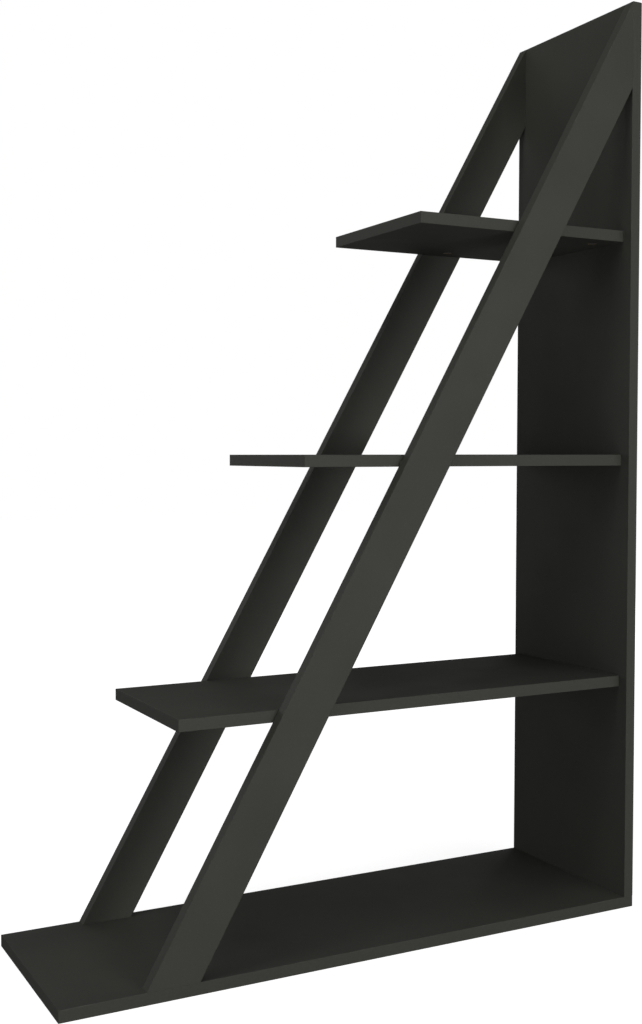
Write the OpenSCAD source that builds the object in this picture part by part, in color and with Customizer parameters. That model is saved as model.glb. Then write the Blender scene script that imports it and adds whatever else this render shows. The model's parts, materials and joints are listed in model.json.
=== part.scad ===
// Ladder bookcase: a tall side panel stands on a long base board, two leaning rails run from
// the base up to the panel's top corners, and three shelves that shorten upwards are held
// between the rails and the panel. Cam fittings, dowels and screws join the boards.
// Millimetres. The origin is the middle of the footprint, on the floor. +X runs towards the
// side panel, the front faces -Y and +Z is up.

/* [Bookcase] */
// Overall height
height = 1500; // [1300:10:1680]
// Length of the base board, from its open end to the outer face of the side panel
width = 1000; // [900:10:1200]
// Overall depth
depth = 295; // [220:5:400]

/* [Boards] */
// Thickness of every board
board = 18; // [16:0.5:22]
// Thickness of the edge band
band = 1; // [0.4:0.2:2]

/* [Shelves] */
// Step from the floor to the first shelf's underside, and from each shelf to the next
shelf_pitch = 370.5; // [300:0.5:400]
// Length of the lower shelf, from the side panel to its free end
lower_shelf_len = 800; // [740:5:860]
// Length of the middle shelf
middle_shelf_len = 600; // [520:5:720]
// Length of the upper shelf
upper_shelf_len = 400; // [320:5:500]

/* [Rails] */
// Width of a leaning rail, across its long edges
rail_w = 70; // [60:1:110]
// Lean of the rails from upright, in degrees
rail_lean = 30; // [26:0.5:33]

/* [Cam fittings] */
// Diameter of the cam's bore in a shelf
cam_bore_d = 15; // [15:0.5:18]
// Distance from a shelf's edge to the middle of the cam
cam_setback = 34; // [30:1:40]
// Turn of a cam from locked to open, in degrees
cam_turn = 190; // [170:5:200]
// Diameter of the cam bolt's shank
bolt_shank_d = 7; // [6:0.1:7.4]
// Diameter of the shank's hole in the end of a shelf
bolt_hole_d = 8; // [7.8:0.1:9]
// Length of the cam bolt's thread in the board that it is driven into
bolt_thread_len = 11; // [9:0.5:12]

/* [Dowels] */
// Diameter of a dowel
dowel_d = 8; // [6:1:8]
// Length of a dowel
dowel_len = 30; // [26:1:35]
// Length of the dowel's end that sits in a panel, a rail or the base
dowel_bite = 12; // [10:0.5:13]

/* [Screws] */
// Length of a screw, with its head
screw_len = 50; // [45:1:60]
// Diameter of a screw's thread and shank
screw_d = 7; // [6:0.1:7]
// Diameter of a screw's head
screw_head_d = 10; // [9:0.1:11]
// Diameter of the cap that covers a screw in the side panel
cap_d = 12; // [12:0.5:14]

/* [Hidden] */
$fn = 48;

// Distance between two fittings side by side, and from a board's edge to its first fitting
row_pitch = 32;
edge_inset = 37;

// Radial play of everything round, and the depth that a blind hole has to spare
fit_gap = 0.05;
hole_spare = 0.5;
// What a cut runs past a face that it opens
overrun = 1;

// Cam: its head cavity is set off its middle, so that a turn draws the bolt in
bore_past_axis = 4.5;
cam_recess = 0.2;
cavity_d = 10;
cavity_offset = 0.6;
cavity_gap = 0.1;
slot_gap = 0.3;
drive_len = 8.5;
drive_w = 1.4;
drive_depth = 2.2;
arrow_len = 1.8;
arrow_w = 2.4;
arrow_depth = 0.4;
arrow_rim = 0.6;

// Cam bolt
bolt_head_d = 6.4;
bolt_head_t = 1.9;
bolt_neck_d = 3.6;
bolt_neck_past_cam = 1;
bolt_thread_d = 5;
bolt_root_d = 3.6;
bolt_thread_pitch = 2.2;

// Dowel
dowel_chamfer = 1;

// Screw
screw_rim_t = 0.8;
screw_cone_t = 3;
screw_recess = 0.2;
screw_root_d = 5;
screw_thread_pitch = 3;
screw_tip_len = 4;
screw_tip_d = 3;
socket_w = 4;
socket_depth = 3;
socket_sides = 6;

// Cap
cap_t = 1;
cap_edge = 0.4;
cap_pin_d = 3.6;
cap_pin_len = 2;

// Faces of the carcass
half_w = width / 2;
half_d = depth / 2;
inner_x = half_w - board;
shelf_half = half_d - board;
rail_mid_y = half_d - board / 2;
panel_mid_x = half_w - board / 2;

// Rails: horizontal and upright measures across a leaning rail and its band
rail_run = rail_w / cos(rail_lean);
band_run = band / cos(rail_lean);
foot_x = inner_x - (height - board) * tan(rail_lean);

// Shelves
SHELVES = ["lower_shelf", "middle_shelf", "upper_shelf"];
shelf_lens = [lower_shelf_len, middle_shelf_len, upper_shelf_len];

// Lengths of the screws and dowels that stand in the second board
screw_bite = screw_len + screw_recess - board;
dowel_rest = dowel_len - dowel_bite;

// Cam sizes that follow the board and the bore
cam_bore_depth = board / 2 + bore_past_axis;
cam_r = cam_bore_d / 2 - fit_gap;
cam_h = cam_bore_depth - cam_recess - hole_spare;
head_reach = cavity_d / 2 - cavity_offset - cavity_gap;
head_back = sqrt(pow(head_reach, 2) - pow(bolt_head_d / 2, 2));

// Middle of a shelf's thickness, and of a rail at a height
function shelf_under(i) = (i + 1) * shelf_pitch;
function shelf_mid(i) = shelf_under(i) + board / 2;
function shelf_left(i) = inner_x - shelf_lens[i];
function rail_mid(z) = foot_x + rail_run / 2 + (z - board) * tan(rail_lean);

// A shelf's four joints, each with its x, y and the heading of its cam bolt: two towards the
// side panel, one towards the front rail and one towards the rear rail
JOINTS = ["panel_front", "panel_rear", "front_rail", "rear_rail"];
panel_cam_y = shelf_half - edge_inset;
rail_cam_y = shelf_half - cam_setback;
function cam_place(i, j) =
    j == 0 ? [inner_x - cam_setback, -panel_cam_y, 0] :
    j == 1 ? [inner_x - cam_setback, panel_cam_y, 0] :
    j == 2 ? [rail_mid(shelf_mid(i)) - row_pitch / 2, -rail_cam_y, -90] :
    [rail_mid(shelf_mid(i)) - row_pitch / 2, rail_cam_y, 90];
// Where each joint's dowel crosses from the shelf into the next board, and its heading
function dowel_place(i, j) =
    j == 0 ? [inner_x, row_pitch - panel_cam_y, 0] :
    j == 1 ? [inner_x, panel_cam_y - row_pitch, 0] :
    j == 2 ? [rail_mid(shelf_mid(i)) + row_pitch / 2, -shelf_half, -90] :
    [rail_mid(shelf_mid(i)) + row_pitch / 2, shelf_half, 90];

// Screws and dowels between the base and what stands on it
panel_foot_y = half_d - edge_inset;
panel_screw_ys = [-panel_foot_y, 0, panel_foot_y];
panel_dowel_ys = [row_pitch - panel_foot_y, panel_foot_y - row_pitch];
foot_mid_x = foot_x + rail_run / 2 + screw_bite / 2 * tan(rail_lean);
foot_screw_x = foot_mid_x - row_pitch / 2;
foot_dowel_x = foot_mid_x + row_pitch / 2;
rail_ys = [-rail_mid_y, rail_mid_y];
foot_dowels = concat(
    [for (y = panel_dowel_ys) [panel_mid_x, y]],
    [for (y = rail_ys) [foot_dowel_x, y]]
);
// Screws through the side panel into the top of each rail
top_mid_z = height - (rail_run + screw_bite) / tan(rail_lean) / 2;
top_screw_zs = [top_mid_z - row_pitch / 2, top_mid_z + row_pitch / 2];

melamine = [0.25, 0.25, 0.24];
edging = [0.26, 0.26, 0.25];
zinc = [0.62, 0.63, 0.64];
dark_zinc = [0.2, 0.2, 0.21];
beech = [0.8, 0.66, 0.47];
cap_plastic = [0.22, 0.22, 0.22];

// A block between two corners
module block(low, high) {
    translate(low) cube(high - low);
}

// Points a shape built along +Z the way that a level fitting runs: 0 is +X, 90 is +Y
module heading(angle) {
    rotate([0, 90, angle]) children();
}

// Saw-tooth rings that stand for a thread, as half an outline from a to b
function thread_rings(a, b, root_r, crest_r, pitch) =
    let (n = floor((b - a) / pitch), step = (b - a) / n)
    [for (k = [0:n - 1], s = [0, 1]) [s == 0 ? root_r : crest_r, a + (k + (s + 1) / 2) * step]];

// Cam, with its middle on the Z axis, its driver end at z = 0 and its bolt towards +X. The
// arrow beside the driver's cross points at the mouth, where the bolt's head comes out
module cam_solid() {
    axis_z = board / 2 - cam_recess;
    slot_r = bolt_neck_d / 2 + slot_gap;
    mouth_r = bolt_head_d / 2 + slot_gap;
    difference() {
        cylinder(r = cam_r, h = cam_h);
        translate([-cavity_offset, 0, axis_z - mouth_r]) cylinder(d = cavity_d, h = cam_h);
        translate([0, 0, axis_z - slot_r])
            rotate_extrude(angle = cam_turn) square([cam_r + overrun, 2 * slot_r]);
        heading(0) translate([-axis_z, 0, 0]) cylinder(r = slot_r, h = cam_r + overrun);
        rotate(cam_turn)
            block([0, -mouth_r, axis_z - mouth_r], [cam_r + overrun, mouth_r, cam_h + overrun]);
        for (turn = [0, 90])
            rotate(turn)
                block([-drive_len / 2, -drive_w / 2, -overrun], [drive_len / 2, drive_w / 2, drive_depth]);
        rotate(cam_turn)
            translate([cam_r - arrow_rim, 0, -overrun])
                linear_extrude(overrun + arrow_depth)
                    polygon([[0, 0], [-arrow_len, arrow_w / 2], [-arrow_len, -arrow_w / 2]]);
    }
}

// Cam bolt along +Z: z = 0 is level with the cam's middle, and the shank's end meets the
// board that holds the thread at z = cam_setback
module bolt_solid() {
    head_top = head_back - bolt_head_t;
    neck_end = cam_bore_d / 2 + bolt_neck_past_cam;
    thread_end = cam_setback + bolt_thread_len;
    rotate_extrude()
        polygon(concat(
            [[0, head_top], [bolt_head_d / 2, head_top], [bolt_head_d / 2, head_back]],
            [[bolt_neck_d / 2, head_back], [bolt_neck_d / 2, neck_end]],
            [[bolt_shank_d / 2, neck_end], [bolt_shank_d / 2, cam_setback]],
            [[bolt_root_d / 2, cam_setback]],
            thread_rings(cam_setback, thread_end, bolt_root_d / 2, bolt_thread_d / 2 - fit_gap,
                bolt_thread_pitch),
            [[0, thread_end]]
        ));
}

// Dowel along +Z, with its bite above z = 0
module dowel_solid() {
    r = dowel_d / 2 - fit_gap;
    rotate_extrude()
        polygon([
            [0, -dowel_rest], [r - dowel_chamfer, -dowel_rest], [r, dowel_chamfer - dowel_rest],
            [r, dowel_bite - dowel_chamfer], [r - dowel_chamfer, dowel_bite], [0, dowel_bite]
        ]);
}

// Screw along +Z, driven in from the face at z = 0
module screw_solid() {
    r = screw_d / 2 - fit_gap;
    head_r = screw_head_d / 2 - fit_gap;
    tip_start = screw_len - screw_tip_len;
    shank_end = board + overrun;
    translate([0, 0, screw_recess])
        difference() {
            rotate_extrude()
                polygon(concat(
                    [[0, 0], [head_r, 0], [head_r, screw_rim_t], [r, screw_rim_t + screw_cone_t]],
                    [[r, shank_end], [screw_root_d / 2, shank_end]],
                    thread_rings(shank_end, tip_start, screw_root_d / 2, r, screw_thread_pitch),
                    [[screw_root_d / 2, tip_start], [screw_tip_d / 2, screw_len], [0, screw_len]]
                ));
            translate([0, 0, -overrun])
                cylinder(d = socket_w / cos(180 / socket_sides), h = socket_depth + overrun,
                    $fn = socket_sides);
        }
}

// Cut for a screw along +Z: the countersink and the bore through both boards
module screw_cut() {
    rim_z = screw_recess + screw_rim_t;
    cylinder(d = screw_d, h = screw_recess + screw_len + hole_spare);
    translate([0, 0, -overrun]) cylinder(d = screw_head_d, h = rim_z + overrun);
    translate([0, 0, rim_z]) cylinder(d1 = screw_head_d, d2 = screw_d, h = screw_cone_t);
}

// Cut for a dowel along +Z, on both sides of the joint at z = 0
module dowel_cut() {
    translate([0, 0, -dowel_rest - hole_spare])
        cylinder(d = dowel_d, h = dowel_len + 2 * hole_spare);
}

// Places a fitting of shelf i and joint j, built along +Z, in its shelf
module at_cam(i, j) {
    place = cam_place(i, j);
    translate([place[0], place[1], shelf_mid(i)]) heading(place[2]) children();
}

module at_dowel(i, j) {
    place = dowel_place(i, j);
    translate([place[0], place[1], shelf_mid(i)]) heading(place[2]) children();
}

// Bores for the threads of shelf i's cam bolts, and all its dowel holes
module bolt_thread_cuts(i) {
    for (j = [0:3])
        at_cam(i, j) translate([0, 0, cam_setback - overrun])
            cylinder(d = bolt_thread_d, h = bolt_thread_len + hole_spare + overrun);
}

module shelf_dowel_cuts(i) {
    for (j = [0:3]) at_dowel(i, j) dowel_cut();
}

// Holes for the shanks of shelf i's cam bolts, which reach from the cam bores out of the shelf
module bolt_shank_cuts(i) {
    for (j = [0:3]) at_cam(i, j) cylinder(d = bolt_hole_d, h = cam_setback + overrun);
}

module cam_bores(i) {
    for (j = [0:3])
        translate([cam_place(i, j)[0], cam_place(i, j)[1], shelf_under(i) - overrun])
            cylinder(d = cam_bore_d, h = cam_bore_depth + overrun);
}

// Everything that is drilled for screws and dowels in the base, the panel and the rails
module foot_screw_cuts() {
    for (y = panel_screw_ys) translate([panel_mid_x, y, 0]) screw_cut();
    for (y = rail_ys) translate([foot_screw_x, y, 0]) screw_cut();
}

module foot_dowel_cuts() {
    for (p = foot_dowels) translate([p[0], p[1], board]) mirror([0, 0, 1]) dowel_cut();
}

module at_rail_top() {
    for (y = rail_ys, z = top_screw_zs) translate([half_w, y, z]) heading(180) children();
}

module side_panel() {
    color(melamine)
        difference() {
            block([inner_x, band - half_d, board], [half_w, half_d - band, height - band]);
            for (i = [0:2]) {
                bolt_thread_cuts(i);
                shelf_dowel_cuts(i);
            }
            foot_screw_cuts();
            foot_dowel_cuts();
            at_rail_top() screw_cut();
        }
}

module base_board() {
    color(melamine)
        difference() {
            block([band - half_w, band - half_d, 0], [half_w - band, half_d - band, board]);
            foot_screw_cuts();
            foot_dowel_cuts();
        }
}

module shelf(i) {
    color(melamine)
        difference() {
            block(
                [shelf_left(i) + band, band - shelf_half, shelf_under(i)],
                [inner_x, shelf_half - band, shelf_under(i) + board]
            );
            cam_bores(i);
            bolt_shank_cuts(i);
            shelf_dowel_cuts(i);
        }
}

// A strip of a rail between two level distances from its upper edge, in its full thickness,
// with the foot cut level on the base and the top cut upright against the panel
module rail_strip(side, from, to) {
    y = side * rail_mid_y + board / 2;
    translate([0, y, 0])
        rotate([90, 0, 0])
            linear_extrude(board)
                polygon([
                    [foot_x + from, board], [foot_x + to, board],
                    [inner_x, height - to / tan(rail_lean)], [inner_x, height - from / tan(rail_lean)]
                ]);
}

module rail(side) {
    color(melamine)
        difference() {
            rail_strip(side, band_run, rail_run - band_run);
            for (i = [0:2]) {
                bolt_thread_cuts(i);
                shelf_dowel_cuts(i);
            }
            foot_screw_cuts();
            foot_dowel_cuts();
            at_rail_top() screw_cut();
        }
}

module rail_upper_band(side) {
    color(edging) rail_strip(side, 0, band_run);
}

module rail_lower_band(side) {
    color(edging) rail_strip(side, rail_run - band_run, rail_run);
}

// The panel's long bands run its full height, and the top band lies between them
module panel_long_band(side) {
    y = side * (half_d - band / 2);
    color(edging) block([inner_x, y - band / 2, board], [half_w, y + band / 2, height]);
}

module panel_top_band() {
    color(edging)
        block([inner_x, band - half_d, height - band], [half_w, half_d - band, height]);
}

// The base's long bands run its full length, and the end bands lie between them
module base_long_band(side) {
    y = side * (half_d - band / 2);
    color(edging) block([-half_w, y - band / 2, 0], [half_w, y + band / 2, board]);
}

module base_end_band(side) {
    x = side * (half_w - band / 2);
    color(edging) block([x - band / 2, band - half_d, 0], [x + band / 2, half_d - band, board]);
}

// The shelf's long bands run its full length and are drilled for the rail fittings
module shelf_long_band(i, side) {
    y = side * (shelf_half - band / 2);
    color(edging)
        difference() {
            block(
                [shelf_left(i), y - band / 2, shelf_under(i)],
                [inner_x, y + band / 2, shelf_under(i) + board]
            );
            bolt_shank_cuts(i);
            shelf_dowel_cuts(i);
        }
}

module shelf_end_band(i) {
    color(edging)
        block(
            [shelf_left(i), band - shelf_half, shelf_under(i)],
            [shelf_left(i) + band, shelf_half - band, shelf_under(i) + board]
        );
}

module shelf_cam(i, j) {
    place = cam_place(i, j);
    color(dark_zinc)
        translate([place[0], place[1], shelf_under(i) + cam_recess]) rotate(place[2]) cam_solid();
}

module shelf_cam_bolts(i) {
    color(zinc) for (j = [0:3]) at_cam(i, j) bolt_solid();
}

module shelf_dowels(i) {
    color(beech) for (j = [0:3]) at_dowel(i, j) dowel_solid();
}

module base_dowels() {
    color(beech)
        for (p = foot_dowels) translate([p[0], p[1], board]) mirror([0, 0, 1]) dowel_solid();
}

module panel_foot_screws() {
    color(zinc) for (y = panel_screw_ys) translate([panel_mid_x, y, 0]) screw_solid();
}

module rail_foot_screws() {
    color(zinc) for (y = rail_ys) translate([foot_screw_x, y, 0]) screw_solid();
}

module rail_top_screws() {
    color(zinc) at_rail_top() screw_solid();
}

// A cap lies on the panel's outer face and its pin sits in the screw's socket
module screw_caps() {
    color(cap_plastic)
        at_rail_top()
            rotate_extrude()
                polygon([
                    [0, cap_pin_len], [cap_pin_d / 2, cap_pin_len], [cap_pin_d / 2, 0],
                    [cap_d / 2, 0], [cap_d / 2, cap_edge - cap_t], [cap_d / 2 - cap_edge, -cap_t],
                    [0, -cap_t]
                ]);
}

side_panel();
base_board();
rail(-1);  // front_rail
rail(1);  // rear_rail
panel_long_band(-1);  // panel_front_band
panel_long_band(1);  // panel_rear_band
panel_top_band();
base_long_band(-1);  // base_front_band
base_long_band(1);  // base_rear_band
base_end_band(-1);  // base_left_band
base_end_band(1);  // base_right_band
rail_upper_band(-1);  // front_rail_upper_band
rail_lower_band(-1);  // front_rail_lower_band
rail_upper_band(1);  // rear_rail_upper_band
rail_lower_band(1);  // rear_rail_lower_band
panel_foot_screws();
rail_foot_screws();
rail_top_screws();
screw_caps();
base_dowels();
for (i = [0:2]) {
    shelf(i);
    shelf_long_band(i, -1);
    shelf_long_band(i, 1);
    shelf_end_band(i);
    shelf_cam_bolts(i);
    shelf_dowels(i);
    for (j = [0:3])
        shelf_cam(i, j);
}
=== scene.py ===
# %% [markdown]
# This lesson dresses a ladder bookcase: a tall side panel on a long base board, two leaning
# rails and three shelves, all cut from anthracite melamine-faced chipboard. The construction is
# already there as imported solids, each at its true size and place, so nothing here is sized
# again. What the solids lack is what the hand and the eye find on a real board: the rounded
# edge band, the fine line where the band meets the face, the pearl grain of the melamine and
# the dull zinc of the fittings.

import json
import math

import bmesh
import bpy
import numpy as np
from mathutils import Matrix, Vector


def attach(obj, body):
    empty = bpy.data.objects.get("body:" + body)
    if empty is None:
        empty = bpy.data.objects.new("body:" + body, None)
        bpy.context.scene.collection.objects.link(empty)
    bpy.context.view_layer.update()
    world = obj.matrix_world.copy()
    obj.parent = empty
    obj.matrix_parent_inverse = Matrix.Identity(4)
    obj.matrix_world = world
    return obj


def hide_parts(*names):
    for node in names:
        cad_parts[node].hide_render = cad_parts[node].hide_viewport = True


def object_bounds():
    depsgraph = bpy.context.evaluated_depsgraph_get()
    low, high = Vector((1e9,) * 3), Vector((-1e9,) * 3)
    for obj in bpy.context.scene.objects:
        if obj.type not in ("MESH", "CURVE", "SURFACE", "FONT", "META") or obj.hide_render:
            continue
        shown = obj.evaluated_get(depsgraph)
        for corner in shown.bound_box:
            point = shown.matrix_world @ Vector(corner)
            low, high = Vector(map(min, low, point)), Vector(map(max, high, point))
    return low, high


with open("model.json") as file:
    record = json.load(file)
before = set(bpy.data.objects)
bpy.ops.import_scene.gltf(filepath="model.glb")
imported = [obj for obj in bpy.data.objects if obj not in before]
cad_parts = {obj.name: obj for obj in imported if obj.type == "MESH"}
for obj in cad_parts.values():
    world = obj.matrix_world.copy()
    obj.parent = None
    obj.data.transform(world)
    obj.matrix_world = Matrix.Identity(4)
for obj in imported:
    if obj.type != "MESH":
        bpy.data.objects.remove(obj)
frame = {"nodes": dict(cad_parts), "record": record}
cad_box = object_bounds()
nodes = frame["nodes"]
record = frame["record"]
slot_of = {row["node"]: row["material_slot"] for row in record["subparts"]}
body_of = {}
for body, members in record["behaviour"]["bodies"].items():
    for node in members:
        body_of[node] = body
mm = 0.001
print(len(nodes), "packed nodes, box", [tuple(round(c, 4) for c in corner) for corner in cad_box])

# %% [markdown]
# The camera stands two metres from the bookcase, out to the front left and at the height of a
# table, and looks down by two degrees. The rest of the framing is done with shift, as on a view
# camera, because more tilt would make the uprights lean. The place and the turn are plain
# numbers: a camera that tracks a point would move with every change to the model.

# %% Camera
picture_long_side_px = 1024
picture_centre_px = (321, 512)
focal_length_px = 1255.1
principal_point_px = (247.7, 496.5)
sensor_width_mm = 36
camera_place = Vector((-0.99295, -1.74161, 0.76268))
camera_turn = math.radians(25.89)
camera_tilt = math.radians(-2.01)

camera_data = bpy.data.cameras.new("camera")
camera_data.sensor_width = sensor_width_mm
camera_data.lens = focal_length_px * sensor_width_mm / picture_long_side_px
camera_data.shift_x = (picture_centre_px[0] - principal_point_px[0]) / picture_long_side_px
camera_data.shift_y = (principal_point_px[1] - picture_centre_px[1]) / picture_long_side_px
camera = bpy.data.objects.new("camera", camera_data)
camera.location = camera_place
camera.rotation_euler = (math.pi / 2 + camera_tilt, 0, -camera_turn)
bpy.context.scene.collection.objects.link(camera)
bpy.context.scene.camera = camera
bpy.context.scene.view_settings.view_transform = "Standard"
print("lens", round(camera_data.lens, 2), "mm")
print("shift", round(camera_data.shift_x, 4), "and", round(camera_data.shift_y, 4))

# %% [markdown]
# Every finish below is a small network of nodes. Two helpers keep them short: one adds a node
# and plugs in whatever it is given, a number or another node's socket, and one makes an empty
# material with its shader and its object coordinates. Object coordinates are in metres here,
# so a noise scale of 1000 draws grains about one millimetre across.


# %% Node helpers
def add_node(tree, kind, inputs=None, **settings):
    """Adds a node, sets its options, and sets or links its inputs."""
    made = tree.nodes.new(kind)
    for name, value in settings.items():
        setattr(made, name, value)
    for name, value in (inputs or {}).items():
        if isinstance(value, bpy.types.NodeSocket):
            tree.links.new(value, made.inputs[name])
        else:
            made.inputs[name].default_value = value
    return made


def new_finish(name):
    """A material with its shader, and the socket of its object coordinates."""
    material = bpy.data.materials.new(name)
    material.use_nodes = True
    tree = material.node_tree
    shader = tree.nodes["Principled BSDF"]
    coordinates = add_node(tree, "ShaderNodeTexCoord").outputs["Object"]
    return material, tree, shader, coordinates


print("node helpers:", add_node.__name__, "and", new_finish.__name__)

# %% [markdown]
# Colours are written as a screen shows them, from 0 to 255, because that is how a board is
# matched to a swatch. A shader wants them linear, so a helper takes each channel through the
# usual screen curve, which is a short straight part near black and a power above it.

# %% Colours
screen_white = 255
straight_part_end = 0.04045
straight_part_slope = 12.92
curve_offset = 0.055
curve_power = 2.4


def linear(channel):
    """One channel of a screen colour, as a shader wants it."""
    share = channel / screen_white
    if share <= straight_part_end:
        return share / straight_part_slope
    return ((share + curve_offset) / (1 + curve_offset)) ** curve_power


def colour(red, green, blue):
    """A screen colour, for a shader's colour socket."""
    return (linear(red), linear(green), linear(blue), 1)


print("a screen grey of 128 is", round(linear(128), 3), "in a shader")

# %% [markdown]
# No real finish is quite even, so each one below is driven by noises: broad ones for handling
# and fine ones for grain. A noise rarely comes near 0 or 1. Its middle is therefore spread over
# the two values that are wanted, which may be the ends of a blend or two roughnesses.

# %% Pattern helpers
noise_middle = (0.35, 0.65)
noise_wide = (0.3, 0.7)
mix_factor, mix_first, mix_second, mix_result = 0, 6, 7, 2


def noise(tree, coordinates, scale, detail=2, output="Fac"):
    """A noise of that many grains per metre."""
    made = add_node(tree, "ShaderNodeTexNoise", {"Vector": coordinates, "Scale": scale, "Detail": detail})
    return made.outputs[output]


def spread(tree, value, taken, given=(0, 1)):
    """Maps one range of a value onto another."""
    ranges = {"From Min": taken[0], "From Max": taken[1], "To Min": given[0], "To Max": given[1]}
    return add_node(tree, "ShaderNodeMapRange", {"Value": value, **ranges}).outputs["Result"]


def blend_colours(tree, factor, first, second):
    """A colour between two, by a factor."""
    inputs = {mix_factor: factor, mix_first: first, mix_second: second}
    return add_node(tree, "ShaderNodeMix", inputs, data_type="RGBA").outputs[mix_result]


def add_bump(tree, shader, height, depth, strength):
    """Bumps a shader's surface by a height socket, depth metres deep."""
    bump = add_node(tree, "ShaderNodeBump", {"Height": height, "Distance": depth, "Strength": strength})
    tree.links.new(bump.outputs["Normal"], shader.inputs["Normal"])


print("a noise's middle is taken as", noise_middle, "and its wider part as", noise_wide)

# %% [markdown]
# Melamine paper is printed one flat dark grey, pressed under a plate with a fine pearl grain.
# The grain is too small to see from a step away, but it is what makes the sheen matt and even.
# Two broad noises drift the tone and smudge the gloss by a few hundredths, as handling does. A
# fine one puts pale flecks in the print, and the finest one is the pressed grain.

# %% Melamine face
board_dark = colour(66, 67, 62)
board_light = colour(70, 71, 65)
board_sheen = 0.15
drift_scale = 6
fleck_scale = 520
fleck_peaks = (0.58, 0.72)
fleck_share = (0, 0.35)
fleck_grey = colour(80, 81, 78)
smudge_scale = 14
smudge_range = (0.35, 0.7)
melamine_roughness = (0.61, 0.67)
pressing_scale = 1500
pressing_depth = 0.05 * mm
pressing_strength = 0.5


def make_melamine():
    material, tree, shader, coordinates = new_finish("anthracite_melamine")
    drift = noise(tree, coordinates, drift_scale, detail=3)
    base = blend_colours(tree, spread(tree, drift, noise_middle), board_dark, board_light)
    flecks = spread(tree, noise(tree, coordinates, fleck_scale), fleck_peaks, fleck_share)
    tree.links.new(blend_colours(tree, flecks, base, fleck_grey), shader.inputs["Base Color"])
    smudge = noise(tree, coordinates, smudge_scale, detail=4)
    gloss = spread(tree, smudge, smudge_range, melamine_roughness)
    tree.links.new(gloss, shader.inputs["Roughness"])
    pressing = noise(tree, coordinates, pressing_scale, detail=1)
    add_bump(tree, shader, pressing, pressing_depth, pressing_strength)
    shader.inputs["Specular IOR Level"].default_value = board_sheen
    return material


melamine = make_melamine()
print("finish:", melamine.name)

# %% [markdown]
# The edge band is a strip of ABS in the same grey. It is a shade smoother than the face, has
# faint scraper lines, and its rounded corners rub to a lighter grey first. The rub is kept in
# a mesh attribute, one on the rounding and zero on the flats, so the mark follows the corner
# wherever the strip runs. A noise breaks it up into short worn stretches.

# %% Edge band finish
band_mottle_scale = 300
band_roughness = (0.52, 0.62)
rubbed_grey = colour(104, 104, 100)
patch_scale = 28
patch_range = (0.5, 0.7)
patch_share = (0, 0.5)
scraper_stretch = (60, 1800, 1800)
scraper_depth = 0.03 * mm
scraper_strength = 0.4


def make_edge_band():
    material, tree, shader, coordinates = new_finish("anthracite_edge_band")
    mottle = noise(tree, coordinates, band_mottle_scale, detail=3)
    base = blend_colours(tree, spread(tree, mottle, noise_middle), board_dark, board_light)
    rub = add_node(tree, "ShaderNodeAttribute", attribute_name="rub").outputs["Fac"]
    patches = spread(tree, noise(tree, coordinates, patch_scale, detail=4), patch_range, patch_share)
    worn = add_node(tree, "ShaderNodeMath", {0: rub, 1: patches}, operation="MULTIPLY").outputs[0]
    tree.links.new(blend_colours(tree, worn, base, rubbed_grey), shader.inputs["Base Color"])
    tree.links.new(spread(tree, mottle, noise_wide, band_roughness), shader.inputs["Roughness"])
    stretched = add_node(tree, "ShaderNodeMapping", {"Vector": coordinates, "Scale": scraper_stretch})
    lines = noise(tree, stretched.outputs["Vector"], scale=1, detail=1)
    add_bump(tree, shader, lines, scraper_depth, scraper_strength)
    shader.inputs["Specular IOR Level"].default_value = board_sheen
    return material


edge_band = make_edge_band()
print("finish:", edge_band.name)

# %% [markdown]
# Chipboard shows only where nothing covers it: in the cut ends and in the drilled holes. It is
# pressed from pale wood chips of one to three millimetres, which a cell texture draws well:
# each cell is one chip with its own tan, and the cell borders are the pits between chips. The
# cells are bent by a noise first, because chips have no straight sides.

# %% Raw chipboard
chip_scale = 520
chip_dark = colour(122, 92, 58)
chip_pale = colour(206, 176, 130)
bend_scale = 900
bend_reach = 1.2 * mm
sawn_roughness = 0.85
pit_depth = 0.4 * mm
pit_strength = 0.6


def make_chipboard():
    material, tree, shader, coordinates = new_finish("raw_chipboard")
    bend = noise(tree, coordinates, bend_scale, output="Color")
    shift = add_node(tree, "ShaderNodeVectorMath", {0: bend, "Scale": bend_reach}, operation="SCALE")
    place = add_node(tree, "ShaderNodeVectorMath", {0: coordinates, 1: shift.outputs[0]}, operation="ADD")
    chips = add_node(tree, "ShaderNodeTexVoronoi", {"Vector": place.outputs[0], "Scale": chip_scale})
    tone = add_node(tree, "ShaderNodeSeparateColor", {"Color": chips.outputs["Color"]}).outputs["Red"]
    ramp = add_node(tree, "ShaderNodeValToRGB", {"Fac": tone})
    ramp.color_ramp.elements[0].color = chip_dark
    ramp.color_ramp.elements[1].color = chip_pale
    tree.links.new(ramp.outputs["Color"], shader.inputs["Base Color"])
    shader.inputs["Roughness"].default_value = sawn_roughness
    add_bump(tree, shader, chips.outputs["Distance"], pit_depth, pit_strength)
    return material


chipboard = make_chipboard()
print("finish:", chipboard.name)

# %% [markdown]
# The cams are die-cast zinc with a blackened coat, dull and slightly cloudy, so that they stay
# quiet under a dark shelf. A coat hides part of the metal, which is why they are set only a
# third metallic. The bolts and screws are steel with a bright zinc plate, which is smoother and
# on the screws faintly warm. One function makes all three, because only the numbers differ.

# %% Zinc
cam_greys = (colour(82, 83, 86), colour(98, 99, 102))
bolt_greys = (colour(176, 178, 180), colour(204, 206, 208))
screw_greys = (colour(182, 178, 166), colour(208, 204, 192))
coated_roughness = (0.42, 0.56)
plated_roughness = (0.24, 0.36)
coated_metal = 0.35
bare_metal = 1
cloud_scale = 260
casting_scale = 2400
casting_depth = 0.03 * mm
casting_strength = 0.4


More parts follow.
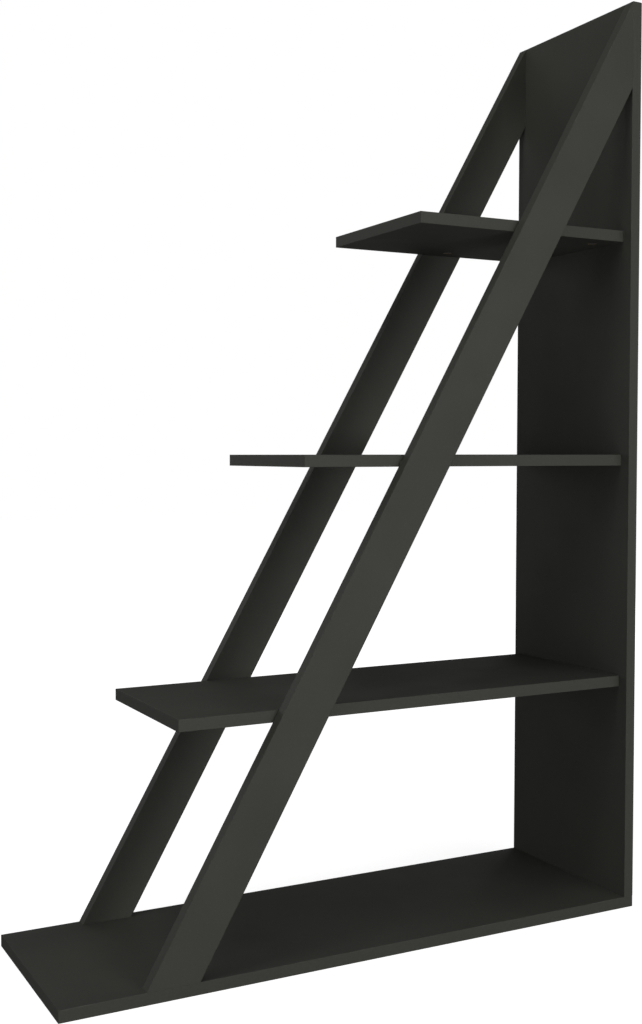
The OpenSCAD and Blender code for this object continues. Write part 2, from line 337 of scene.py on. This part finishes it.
def make_zinc(name, greys, roughness, metal):
    material, tree, shader, coordinates = new_finish(name)
    cloud = noise(tree, coordinates, cloud_scale, detail=4)
    base = blend_colours(tree, spread(tree, cloud, noise_wide), *greys)
    tree.links.new(base, shader.inputs["Base Color"])
    tree.links.new(spread(tree, cloud, noise_wide, roughness), shader.inputs["Roughness"])
    casting = noise(tree, coordinates, casting_scale)
    add_bump(tree, shader, casting, casting_depth, casting_strength)
    shader.inputs["Metallic"].default_value = metal
    return material


blackened_zinc = make_zinc("blackened_zinc", cam_greys, coated_roughness, coated_metal)
plated_bolt = make_zinc("plated_bolt", bolt_greys, plated_roughness, bare_metal)
plated_screw = make_zinc("plated_screw", screw_greys, plated_roughness, bare_metal)
print("finishes:", blackened_zinc.name, plated_bolt.name, plated_screw.name)

# %% [markdown]
# The dowels are beech, pale with short dark flecks. The flecks are a noise that is squeezed in
# height, so that each one is longer than it is tall. The same noise darkens the colour, dulls
# the gloss and sinks the surface, which makes a fleck a pore and not a painted dot.

# %% Beech
beech_pale = colour(214, 178, 134)
beech_fleck = colour(160, 112, 70)
beech_squeeze = (1, 1, 6)
beech_fleck_scale = 500
beech_fleck_range = (0.4, 0.7)
beech_roughness = (0.6, 0.75)
pore_depth = 0.05 * mm
pore_strength = 0.4


def make_beech():
    material, tree, shader, coordinates = new_finish("beech")
    squeezed = add_node(tree, "ShaderNodeMapping", {"Vector": coordinates, "Scale": beech_squeeze})
    flecks = noise(tree, squeezed.outputs["Vector"], beech_fleck_scale, detail=3)
    base = blend_colours(tree, spread(tree, flecks, beech_fleck_range), beech_pale, beech_fleck)
    tree.links.new(base, shader.inputs["Base Color"])
    tree.links.new(spread(tree, flecks, noise_wide, beech_roughness), shader.inputs["Roughness"])
    add_bump(tree, shader, flecks, pore_depth, pore_strength)
    return material


beech = make_beech()
print("finish:", beech.name)

# %% [markdown]
# The caps over the screws are moulded plastic in nearly the board's grey. They are meant to be
# overlooked, so their grain is close to the pearl of the melamine and only a little glossier.

# %% Cap plastic
cap_dark = colour(58, 59, 58)
cap_light = colour(64, 65, 64)
cap_sheen = 0.2
cap_roughness = (0.4, 0.5)
cap_grain_scale = 1800
cap_grain_depth = 0.04 * mm
cap_grain_strength = 0.4


def make_cap_plastic():
    material, tree, shader, coordinates = new_finish("cap_plastic")
    grain = noise(tree, coordinates, cap_grain_scale, detail=1)
    base = blend_colours(tree, spread(tree, grain, noise_wide), cap_dark, cap_light)
    tree.links.new(base, shader.inputs["Base Color"])
    tree.links.new(spread(tree, grain, noise_wide, cap_roughness), shader.inputs["Roughness"])
    add_bump(tree, shader, grain, cap_grain_depth, cap_grain_strength)
    shader.inputs["Specular IOR Level"].default_value = cap_sheen
    return material


cap_plastic = make_cap_plastic()
print("finish:", cap_plastic.name)

# %% [markdown]
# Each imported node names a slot, the kind of stuff it is made of. This table gives every slot
# its finish, so that a piece finds its material by what it is and not by its name.

# %% Finishes by slot
finishes = {
    "melamine_board": melamine,
    "edge_band": edge_band,
    "zinc_cam": blackened_zinc,
    "zinc_bolt": plated_bolt,
    "zinc_screw": plated_screw,
    "beech_dowel": beech,
    "cap_plastic": cap_plastic,
}
print(len(finishes), "finishes for", len(set(slot_of.values())), "slots")

# %% [markdown]
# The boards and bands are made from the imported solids, so that every bore stays where it is.
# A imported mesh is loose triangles, so a copy is merged first. What lies on the outside of the
# solid is then told from what lies in a bore by one test: no corner of the mesh is beyond an
# outside face's plane.

# %% Merged copies and their outside faces
merge_distance = 0.001 * mm
plane_tolerance = 0.002 * mm
same_way = 0.999


def merged_copy(node):
    """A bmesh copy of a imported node, with its loose triangles joined."""
    solid = bmesh.new()
    solid.from_mesh(nodes[node].data)
    bmesh.ops.remove_doubles(solid, verts=solid.verts, dist=merge_distance)
    solid.normal_update()
    return solid


def outside_faces(solid):
    """The faces that have the whole solid behind them."""
    corners = np.array([corner.co for corner in solid.verts])
    found = set()
    for face in solid.faces:
        level = face.normal.dot(face.verts[0].co)
        if (corners @ np.array(face.normal)).max() - level < plane_tolerance:
            found.add(face)
    return found


def faces_along(solid, direction):
    """The outside faces that look in one direction."""
    return {face for face in outside_faces(solid) if face.normal.dot(direction) > same_way}


test_copy = merged_copy("lower_shelf")
print("lower shelf:", len(test_copy.faces), "faces,", len(outside_faces(test_copy)), "on its outside")
test_copy.free()

# %% [markdown]
# Arrises, band corners and the edges of the fittings are all a bevel, only wider or finer and
# in more or fewer steps. The operator starts from other defaults than the editor's tool does,
# so the helper says that it bevels edges, with a round profile, and keeps each face's material.

# %% Bevels
round_profile = 0.5
keep_material = -1


def bevel_edges(solid, edges, width, steps):
    """Bevels edges, and gives back the faces that this made."""
    made = bmesh.ops.bevel(
        solid,
        geom=edges,
        offset=width,
        segments=steps,
        profile=round_profile,
        affect="EDGES",
        clamp_overlap=True,
        material=keep_material,
    )
    return set(made["faces"])


print("bevels have a profile of", round_profile)

# %% [markdown]
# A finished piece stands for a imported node, rides on the node's body and keeps its slot. The
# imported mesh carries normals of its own, and they no longer fit once the corners are merged:
# they draw streaks on long thin triangles. So the finished mesh drops them. Marking the sharp
# edges makes every face smooth, so each face's own shading is put back after it.

# %% From bmesh to finished piece
sharp_angle = math.radians(35)


def finish_piece(name, solid, materials, node):
    """Makes an object of a bmesh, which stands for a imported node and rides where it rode."""
    mesh = bpy.data.meshes.new(name)
    smooth = [face.smooth for face in solid.faces]
    solid.to_mesh(mesh)
    solid.free()
    if "custom_normal" in mesh.attributes:
        mesh.attributes.remove(mesh.attributes["custom_normal"])
    mesh.set_sharp_from_angle(angle=sharp_angle)
    mesh.polygons.foreach_set("use_smooth", smooth)
    for material in materials:
        mesh.materials.append(material)
    piece = bpy.data.objects.new(name, mesh)
    bpy.context.scene.collection.objects.link(piece)
    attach(piece, body_of[node])
    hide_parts(node)
    return piece


print("edges over", round(math.degrees(sharp_angle)), "degrees stay sharp")

# %% [markdown]
# A sawn board has crisp arrises, and where it meets its band or its neighbour the two arrises
# leave a hair-fine groove. That groove is the one line that tells the eye where two boards of
# the same grey meet. A bevel of about a tenth of a millimetre on the board's outer edges makes
# it. The two faces keep the melamine; the sawn edges and the bores are raw chipboard.

# %% Boards
arris = 0.12 * mm
arris_steps = 1
corner_limit = 0.9
facing_limit = 0.5
melamine_index, chipboard_index = 0, 1
across_panel = Vector((1, 0, 0))
across_rail = Vector((0, 1, 0))
across_shelf = Vector((0, 0, 1))
across_of = {"side_panel": across_panel, "front_rail": across_rail, "rear_rail": across_rail}
board_nodes = [node for node, slot in slot_of.items() if slot == "melamine_board"]


def outer_edges(solid, outside):
    """The edges where two outside faces meet at a corner."""
    found = []
    for edge in solid.edges:
        beside = edge.link_faces
        if len(beside) == 2 and beside[0] in outside and beside[1] in outside:
            if beside[0].normal.dot(beside[1].normal) < corner_limit:
                found.append(edge)
    return found


def dress_board(node):
    """A board with fine arrises, melamine on its two faces and raw chipboard elsewhere."""
    solid = merged_copy(node)
    bevel_edges(solid, outer_edges(solid, outside_faces(solid)), arris, arris_steps)
    solid.normal_update()
    across = across_of.get(node, across_shelf)
    outside = outside_faces(solid)
    for face in solid.faces:
        covered = face in outside and abs(face.normal.dot(across)) > facing_limit
        face.material_index = melamine_index if covered else chipboard_index
        face.smooth = face not in outside
    ending = "_sheet" if "board" in node else "_board"
    return finish_piece(node + ending, solid, [melamine, chipboard], node)


boards = [dress_board(node) for node in board_nodes]
print(len(boards), "boards:", [piece.name for piece in boards])

# %% [markdown]
# A band is one millimetre thick and its outer corners are scraped round, to a little over half
# its thickness. Only the corners that a hand can reach are rounded: where a band runs into the
# next board it is cut square. So each band is given the way that it faces and the ways that
# lie open beside it, and the edges between those faces get the bevel. Most ways are plain axes.
# The way that a leaning rail's upper edge faces is read off the broadest face of its band.

# %% Which way each band faces
front = Vector((0, -1, 0))
rear = Vector((0, 1, 0))
left = Vector((-1, 0, 0))
right = Vector((1, 0, 0))
up = Vector((0, 0, 1))
down = Vector((0, 0, -1))

rail_strip = merged_copy("front_rail_upper_band")
broadest = max(rail_strip.faces, key=lambda face: face.calc_area())
above_rail = broadest.normal.copy()
if above_rail.z < 0:
    above_rail.negate()
rail_strip.free()
print("the rails lean by", round(math.degrees(math.asin(above_rail.z)), 2), "degrees")

band_ways = {
    "panel_front_band": (front, [left, right, up]),
    "panel_rear_band": (rear, [left, right, up]),
    "panel_top_band": (up, [left, right]),
    "base_front_band": (front, [up, down, left, right]),
    "base_rear_band": (rear, [up, down, left, right]),
    "base_left_band": (left, [up, down]),
    "base_right_band": (right, [up, down]),
}
for rail in ("front_rail", "rear_rail"):
    band_ways[rail + "_upper_band"] = (above_rail, [front, rear])
    band_ways[rail + "_lower_band"] = (-above_rail, [front, rear])
for shelf in ("lower_shelf", "middle_shelf", "upper_shelf"):
    band_ways[shelf + "_front_band"] = (front, [up, down, left])
    band_ways[shelf + "_rear_band"] = (rear, [up, down, left])
    band_ways[shelf + "_end_band"] = (left, [up, down])
print(len(band_ways), "bands")

# %% [markdown]
# The rounding takes three steps, which is enough for a highlight to roll over it. The faces of
# the rounding are shaded smooth and the rest flat. A corner that only rounded faces share is
# where a hand and a cloth rub, so it gets the full mark of wear.

# %% Edge bands
rounding = 0.6 * mm
rounding_steps = 3


def dress_band(node):
    """A band whose reachable corners are rounded and marked for wear."""
    facing, open_ways = band_ways[node]
    solid = merged_copy(node)
    outer = faces_along(solid, facing)
    beside = set().union(*(faces_along(solid, way) for way in open_ways))
    edges = []
    for edge in solid.edges:
        pair = set(edge.link_faces)
        if len(edge.link_faces) == 2 and outer & pair and beside & pair:
            edges.append(edge)
    rounded = bevel_edges(solid, edges, rounding, rounding_steps)
    rub = solid.verts.layers.float.new("rub")
    for corner in solid.verts:
        corner[rub] = 1.0 if all(face in rounded for face in corner.link_faces) else 0.0
    for face in solid.faces:
        face.smooth = face in rounded
    return finish_piece(node + "_strip", solid, [edge_band], node)


bands = [dress_band(node) for node in band_ways]
print(len(bands), "bands, rounded to", round(rounding / mm, 2), "mm")

# %% [markdown]
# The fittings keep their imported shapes, because those are already turned and milled as the
# real ones are. Cast and plated edges are never razor sharp, though, so a copy of each cam,
# bolt, screw and cap gets a small bevel wherever two faces meet at a clear angle.

# %% Fittings
soft_edge = {
    "zinc_cam": 0.08 * mm,
    "zinc_bolt": 0.1 * mm,
    "zinc_screw": 0.1 * mm,
    "cap_plastic": 0.15 * mm,
}
soft_edge_steps = 2


def dress_fitting(node):
    """A fitting with its sharp edges eased."""
    slot = slot_of[node]
    solid = merged_copy(node)
    edges = []
    for edge in solid.edges:
        if edge.is_manifold and edge.calc_face_angle(0) > sharp_angle:
            edges.append(edge)
    bevel_edges(solid, edges, soft_edge[slot], soft_edge_steps)
    for face in solid.faces:
        face.smooth = True
    return finish_piece(node + "_eased", solid, [finishes[slot]], node)


fittings = [dress_fitting(node) for node, slot in slot_of.items() if slot in soft_edge]
print(len(fittings), "fittings eased")

# %% [markdown]
# The dowels stay as packed. They are hidden in their holes, but they get their beech all the
# same, since the model can be taken apart.

# %% Dowels
for node, slot in slot_of.items():
    if slot == "beech_dowel":
        mesh = nodes[node].data
        mesh.materials.clear()
        mesh.materials.append(finishes[slot])
        print("beech on", node)

# %% [markdown]
# The set is a plain white sweep. A photographed sweep would need far more light than a dark
# bookcase can take. So the floor and the surroundings are white to the camera and through
# glass, dim in a mirror, and have a level of their own for all other light. A helper makes
# such a level out of the kind of ray that asks for it.

# %% A level by the kind of ray
seen_white = 1
mirrored_white = 0.12


def by_ray(tree, seen, mirrored, other):
    """A level for rays from the camera or through glass, one for mirror rays and one for the others."""
    path = add_node(tree, "ShaderNodeLightPath").outputs
    either = {0: path["Is Camera Ray"], 1: path["Is Transmission Ray"]}
    clear = add_node(tree, "ShaderNodeMath", either, operation="MAXIMUM").outputs[0]
    first = {0: clear, 1: seen - other, 2: other}
    level = add_node(tree, "ShaderNodeMath", first, operation="MULTIPLY_ADD").outputs[0]
    second = {0: path["Is Glossy Ray"], 1: mirrored - other, 2: level}
    return add_node(tree, "ShaderNodeMath", second, operation="MULTIPLY_ADD").outputs[0]


print("white is", seen_white, "to the camera and", mirrored_white, "in a mirror")

# %% [markdown]
# The floor keeps a faint shadow, but it throws little light back up, because the undersides of
# a dark bookcase in a studio are the darkest faces there are. Its glow is for what sees it and
# lights nothing. It is a little weaker near the bookcase, where the shadow lies, and full
# further out, where the floor has to meet the white surroundings without a line. The floor is
# also one-sided: seen from below it is clear, and the undersides show.

# %% Floor
floor_half_side = 12
floor_gap = 0.1 * mm
floor_paint = 0.6
floor_bounce = 0.3
glow_near = 0.86
glow_rises_from = 1.0
glow_full_from = 2.8


def floor_glow(tree):
    """The floor's own light for the camera, which rises with the distance from the bookcase."""
    place = add_node(tree, "ShaderNodeTexCoord").outputs["Object"]
    reach = add_node(tree, "ShaderNodeVectorMath", {0: place}, operation="LENGTH").outputs["Value"]
    near_and_far = {
        "Value": reach,
        "From Min": glow_rises_from,
        "From Max": glow_full_from,
        "To Min": glow_near,
        "To Max": seen_white,
    }
    rise = add_node(tree, "ShaderNodeMapRange", near_and_far, interpolation_type="SMOOTHSTEP")
    factors = {0: rise.outputs["Result"], 1: by_ray(tree, seen_white, mirrored_white, 0)}
    return add_node(tree, "ShaderNodeMath", factors, operation="MULTIPLY").outputs[0]


def make_floor_paint():
    """White paint that glows for the camera and is clear from below."""
    material = bpy.data.materials.new("white_floor")
    material.use_nodes = True
    tree = material.node_tree
    tree.nodes.remove(tree.nodes["Principled BSDF"])
    level = by_ray(tree, floor_paint, 0, floor_bounce)
    tone = add_node(tree, "ShaderNodeCombineColor", {"Red": level, "Green": level, "Blue": level})
    paint = add_node(tree, "ShaderNodeBsdfDiffuse", {"Color": tone.outputs[0]}).outputs[0]
    glow = add_node(tree, "ShaderNodeEmission", {"Strength": floor_glow(tree)}).outputs[0]
    shown = add_node(tree, "ShaderNodeAddShader", {0: paint, 1: glow}).outputs[0]
    clear = add_node(tree, "ShaderNodeBsdfTransparent").outputs[0]
    below = add_node(tree, "ShaderNodeNewGeometry").outputs["Backfacing"]
    one_sided = add_node(tree, "ShaderNodeMixShader", {0: below, 1: shown, 2: clear}).outputs[0]
    tree.links.new(one_sided, tree.nodes["Material Output"].inputs["Surface"])
    return material


def make_floor():
    solid = bmesh.new()
    bmesh.ops.create_grid(solid, x_segments=1, y_segments=1, size=floor_half_side)
    bmesh.ops.translate(solid, verts=solid.verts, vec=(0, 0, cad_box[0].z - floor_gap))
    mesh = bpy.data.meshes.new("floor")
    solid.to_mesh(mesh)
    solid.free()
    mesh.materials.append(make_floor_paint())
    floor = bpy.data.objects.new("floor", mesh)
    bpy.context.scene.collection.objects.link(floor)
    return floor


white_floor = make_floor()
print("floor:", 2 * floor_half_side, "m square,", round(floor_gap / mm, 2), "mm under the base")

# %% [markdown]
# The surroundings do the same: they are white where they are seen, and otherwise an even soft
# light of a few hundredths, which keeps the faces that no lamp reaches from going black.

# %% Surroundings
room_light = 0.05


def make_world(level):
    """White surroundings that light the scene only by a given level."""
    world = bpy.data.worlds.new("white_room")
    world.use_nodes = True
    tree = world.node_tree
    tree.nodes.clear()
    strength = by_ray(tree, seen_white, mirrored_white, level)
    white = add_node(tree, "ShaderNodeBackground", {"Color": (1, 1, 1, 1), "Strength": strength})
    output = add_node(tree, "ShaderNodeOutputWorld")
    tree.links.new(white.outputs[0], output.inputs["Surface"])
    bpy.context.scene.world = world
    return world


white_room = make_world(room_light)
print("surroundings:", white_room.name, "at", room_light)

# %% [markdown]
# In the picture the front edges are the brightest, the free ends of the shelves come next, the
# tops fall off towards the rear, and the panel's inner face is nearly black. A low soft lamp
# straight in front of the panel gives the front its light and leaves the panel's inner face
# alone, and a wide dim one near the floor reaches the rear rail between the boards. A small
# lamp above the left half draws the soft edge of each shelf's shadow on the one below, and two
# small lamps at the left lift the free ends. The lamps behind and at the right are not needed
# for this picture. They keep the rear and the panel's outer face readable from the other sides.

# %% Lamps
# Each lamp's place, width, height and power, in metres and watts.
lamps = {
    "front_lamp": ((0.5, -3.6, 0.6), 1.2, 0.8, 43),
    "low_front_lamp": ((-0.6, -3.4, 0.35), 3.0, 0.6, 12),
    "front_right_lamp": ((2.4, -3.8, 1.6), 2.0, 2.6, 23),
    "top_lamp": ((-0.9, -0.3, 2.7), 0.8, 0.8, 11.5),
    "top_front_lamp": ((-0.2, -1.1, 2.6), 0.8, 0.8, 5),
    "left_lamp": ((-1.5, 0.6, 0.9), 0.5, 1.4, 1),
    "low_left_lamp": ((-1.5, -0.5, 0.3), 0.5, 0.5, 3),
    "rear_lamp": ((-1.6, 4.2, 1.6), 3.0, 2.4, 19),
    "right_rear_lamp": ((4.2, 2.0, 1.2), 2.4, 2.4, 24),
    "right_lamp": ((4.2, 0.3, 1.4), 2.4, 2.6, 20),
}
middle = (cad_box[0] + cad_box[1]) / 2


def add_lamp(name, place, aim, width, height, power):
    """A soft rectangular lamp that looks at a point."""
    data = bpy.data.lights.new(name, "AREA")
    data.shape = "RECTANGLE"
    data.size = width
    data.size_y = height
    data.energy = power
    lamp = bpy.data.objects.new(name, data)
    lamp.location = place
    lamp.rotation_mode = "QUATERNION"
    lamp.rotation_quaternion = (Vector(aim) - Vector(place)).to_track_quat("-Z", "Y")
    bpy.context.scene.collection.objects.link(lamp)
    return lamp


for name, (place, width, height, power) in lamps.items():
    add_lamp(name, place, middle, width, height, power)
print(len(lamps), "lamps, aimed at", [round(c, 3) for c in middle])
